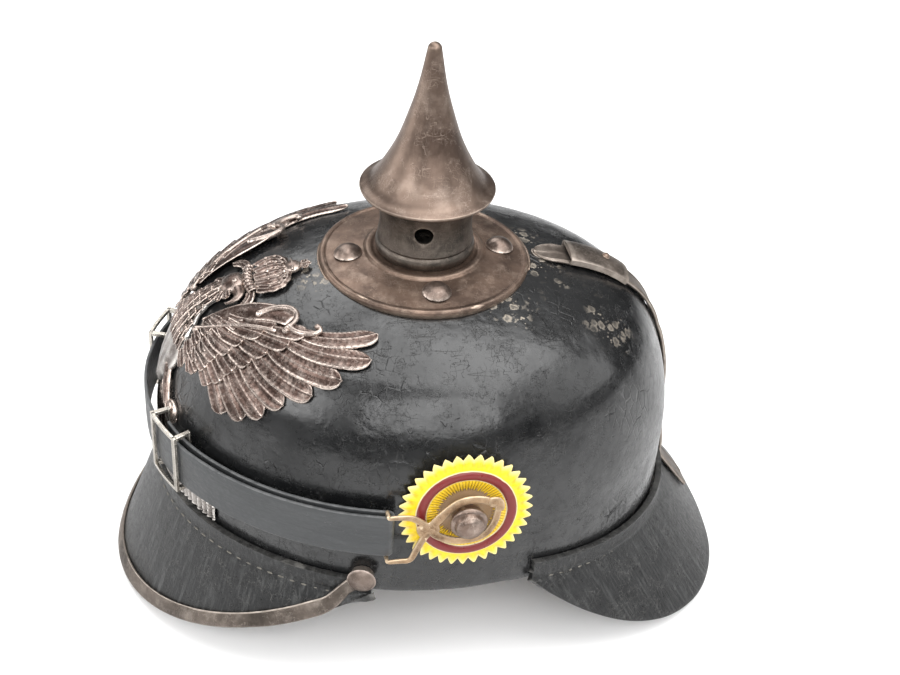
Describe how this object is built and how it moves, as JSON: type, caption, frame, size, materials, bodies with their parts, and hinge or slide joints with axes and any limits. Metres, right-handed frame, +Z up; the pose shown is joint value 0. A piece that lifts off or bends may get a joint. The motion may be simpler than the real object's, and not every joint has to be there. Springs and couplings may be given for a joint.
{
  "type": "spiked leather helmet",
  "caption": "Black leather helmet with front and rear visors, a removable spike on a base plate, front plate, cockades, rear spine with vent slide and a chin strap on hooks",
  "frame": {"origin": "on the ground, under the middle of the helmet's length and width", "axes": "+X the wearer's left, +Y to the rear, +Z up; the front visor is at -Y"},
  "size_m": [0.1994, 0.2582, 0.2285],
  "materials": {
    "black_leather": "glossy lacquered leather",
    "visor_leather": "worn lacquered leather",
    "grey_steel": "dull grey steel",
    "brown_steel": "patinated brown steel",
    "dark_steel": "dark patinated steel",
    "plate_metal": "tarnished pressed sheet",
    "pin_leather": "plain leather",
    "liner_leather": "plain brown leather",
    "strap_leather": "worn black leather",
    "hook_brass": "dull brass",
    "buckle_steel": "bright steel",
    "cockade_left": "yellow and red paint",
    "cockade_right": "black, white and red paint"
  },
  "bodies": {
    "helmet": {"skull_shell": "black_leather", "front_visor": "visor_leather", "rear_visor": "visor_leather", "visor_trim": "grey_steel", "trim_studs": "grey_steel", "base_plate": "brown_steel", "base_studs": "brown_steel", "base_stud_washers": "grey_steel", "bayonet_collar": "grey_steel", "rear_spine": "brown_steel", "spine_prongs": "grey_steel", "front_plate": "plate_metal", "plate_loops": "plate_metal", "plate_pins": "pin_leather", "liner_band": "liner_leather", "liner_tongues": "liner_leather", "side_post_left": "brown_steel", "side_post_right": "brown_steel", "post_washer_left": "grey_steel", "post_washer_right": "grey_steel", "post_nut_left": "grey_steel", "post_nut_right": "grey_steel", "cockade_left": "cockade_left", "cockade_right": "cockade_right"},
    "spike": {"spike_neck": "dark_steel", "spike_cone": "brown_steel", "spike_lugs": "grey_steel"},
    "vent_slide": {"vent_slider": "brown_steel", "slider_knob": "brown_steel"},
    "chinstrap": {"chin_strap": "strap_leather", "strap_hook_left": "hook_brass", "strap_hook_right": "hook_brass"},
    "buckle_left": {"strap_buckle_left": "buckle_steel"},
    "buckle_right": {"strap_buckle_right": "buckle_steel"}
  },
  "joints": [
    {"name": "spike_turn", "type": "hinge", "parent": "helmet", "child": "spike", "pos_m": [0, -0.00243, 0.15], "axis": [0, 0, 1], "range_deg": [0, 40]},
    {"name": "vent_slide_travel", "type": "hinge", "parent": "helmet", "child": "vent_slide", "pos_m": [0, 0.04342, 0.07936], "axis": [-1, 0, 0], "range_deg": [0, 9.5]},
    {"name": "strap_swing", "type": "hinge", "parent": "helmet", "child": "chinstrap", "pos_m": [0, 0.00128, 0.085], "axis": [-1, 0, 0], "range_deg": [0, 35]},
    {"name": "buckle_left_travel", "type": "hinge", "parent": "chinstrap", "child": "buckle_left", "pos_m": [0, -0.03093, 0.078], "axis": [0, 0, 1], "range_deg": [0, 5]},
    {"name": "buckle_right_travel", "type": "hinge", "parent": "chinstrap", "child": "buckle_right", "pos_m": [0, -0.03093, 0.078], "axis": [0, 0, -1], "range_deg": [0, 5]}
  ]
}
